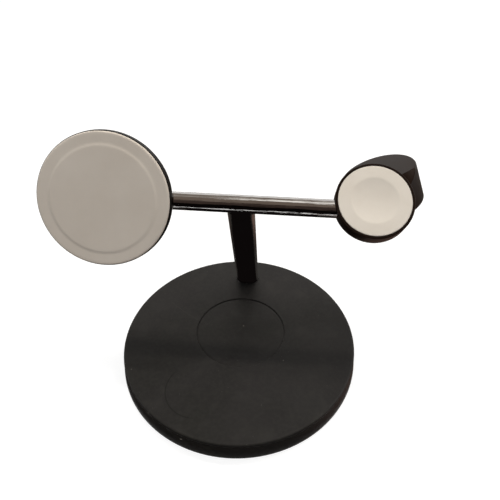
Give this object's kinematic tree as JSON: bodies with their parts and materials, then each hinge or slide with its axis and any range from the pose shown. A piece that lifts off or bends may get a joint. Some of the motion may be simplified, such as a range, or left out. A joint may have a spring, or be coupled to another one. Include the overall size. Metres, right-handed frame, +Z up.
{
  "type": "three in one wireless charger",
  "caption": "Desk charging stand: a round black base with an earbud pad, a leaning chrome T, a white disc for a phone at one end of the bar and a dished disc for a watch at the other.",
  "frame": {"origin": "middle of the foot pad's underside, on the table", "axes": "+Z up, +X along the cross bar from the phone disc to the watch disc, -Y towards the user"},
  "size_m": [0.1634, 0.1138, 0.111],
  "materials": {
    "silicone_black": "matte moulded silicone",
    "body_black": "fine moulded matte",
    "polished_chrome": "polished plating",
    "phone_white": "soft matte silicone skin",
    "watch_white": "satin moulded",
    "plain_steel": "plain rolled",
    "insulating_film": "thin film",
    "board_green": "solder mask",
    "chip_black": "moulded epoxy",
    "connector_white": "moulded",
    "socket_black": "moulded",
    "contact_metal": "nickel plated",
    "lamp_white": "clear epoxy",
    "clear_pipe": "clear moulded",
    "carrier_grey": "moulded",
    "ferrite_dark": "sintered sheet",
    "copper_wire": "enamelled copper winding",
    "magnet_nickel": "nickel plated",
    "screw_steel": "zinc plated",
    "lead_black": "sheathed wire"
  },
  "bodies": {
    "root": {"foot_pad": "silicone_black", "base_shell": "body_black", "base_cover": "body_black", "t_frame": "polished_chrome", "phone_housing": "body_black", "phone_face": "phone_white", "watch_housing": "body_black", "watch_lid": "body_black", "watch_face": "watch_white", "ballast_plate": "plain_steel", "insulator_sheet": "insulating_film", "main_board": "board_green", "phone_board": "board_green", "watch_board": "board_green", "board_components": "chip_black", "lead_connectors": "connector_white", "phone_connector": "connector_white", "inlet_jack": "socket_black", "inlet_pin": "contact_metal", "indicator_lamp": "lamp_white", "light_pipe": "clear_pipe", "coil_carrier": "carrier_grey", "earbud_ferrite": "ferrite_dark", "phone_ferrite": "ferrite_dark", "watch_ferrite": "ferrite_dark", "earbud_coil": "copper_wire", "phone_coil": "copper_wire", "watch_coil": "copper_wire", "phone_magnets": "magnet_nickel", "watch_magnet": "magnet_nickel", "phone_shield": "plain_steel", "cover_screws": "screw_steel", "frame_screws": "screw_steel", "phone_screws": "screw_steel", "watch_screws": "screw_steel", "phone_lead": "lead_black", "watch_lead": "lead_black"}
  },
  "joints": []
}
